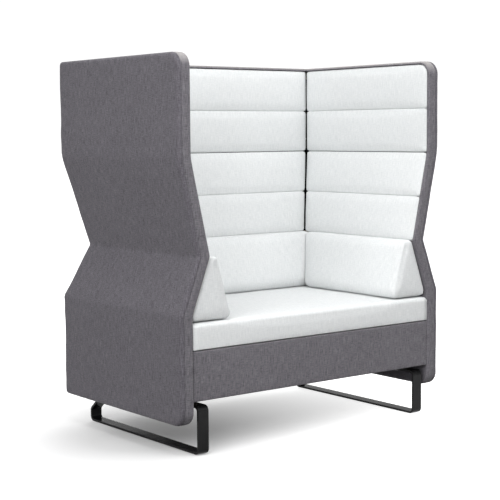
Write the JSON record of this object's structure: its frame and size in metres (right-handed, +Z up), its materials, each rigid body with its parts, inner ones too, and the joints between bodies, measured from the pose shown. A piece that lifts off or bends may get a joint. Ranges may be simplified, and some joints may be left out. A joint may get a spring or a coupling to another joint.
{
  "type": "high-back privacy sofa",
  "caption": "High-back privacy sofa: folded grey upholstered panels round a pale padded seat with loose wedge cushions, on black flat-bar sled legs.",
  "frame": {"origin": "on the floor, under the middle of the sofa's box", "axes": "+Z up, front towards -Y, +X to the right seen from the front"},
  "size_m": [1.25, 0.8, 1.4],
  "materials": {
    "outer_fabric": "heathered grey wool weave",
    "pad_fabric": "pale blue-white weave",
    "timber": "bare plywood",
    "stained_timber": "dark stain",
    "black_cloth": "matte",
    "black_paint": "gloss",
    "black_plastic": "matte",
    "zinc_steel": "zinc plated"
  },
  "bodies": {
    "frame": {"back_cushion": "pad_fabric", "back_pad_1": "pad_fabric", "back_pad_2": "pad_fabric", "back_pad_3": "pad_fabric", "back_pad_4": "pad_fabric", "back_pad_boards": "timber", "back_panel_boards": "timber", "back_panel_cover": "outer_fabric", "base_border": "outer_fabric", "corner_blocks": "timber", "corner_screws": "zinc_steel", "cross_rails": "timber", "crosswise_webbing": "black_cloth", "dust_cover": "black_cloth", "floor_glides": "black_plastic", "front_rail": "timber", "left_corner_angle": "black_paint", "left_leg_batten": "timber", "left_pad_1": "pad_fabric", "left_pad_2": "pad_fabric", "left_pad_3": "pad_fabric", "left_pad_4": "pad_fabric", "left_pad_boards": "timber", "left_panel_boards": "timber", "left_panel_cover": "outer_fabric", "left_rail": "timber", "left_sled": "black_paint", "left_sled_spacer": "stained_timber", "leg_bolts": "zinc_steel", "leg_tee_nuts": "zinc_steel", "lengthwise_webbing": "black_cloth", "panel_bolts": "zinc_steel", "panel_tee_nuts": "zinc_steel", "rear_rail": "timber", "right_corner_angle": "black_paint", "right_leg_batten": "timber", "right_pad_1": "pad_fabric", "right_pad_2": "pad_fabric", "right_pad_3": "pad_fabric", "right_pad_4": "pad_fabric", "right_pad_boards": "timber", "right_panel_boards": "timber", "right_panel_cover": "outer_fabric", "right_rail": "timber", "right_sled": "black_paint", "right_sled_spacer": "stained_timber", "seat_cushion": "pad_fabric"},
    "left_arm": {"left_arm_cushion": "pad_fabric"},
    "right_arm": {"right_arm_cushion": "pad_fabric"}
  },
  "joints": [
    {"name": "left_arm_pull", "type": "slide", "parent": "frame", "child": "left_arm", "axis": [0, -1, 0], "range_m": [0, 0.65]},
    {"name": "right_arm_pull", "type": "slide", "parent": "frame", "child": "right_arm", "axis": [0, -1, 0], "range_m": [0, 0.65]}
  ]
}
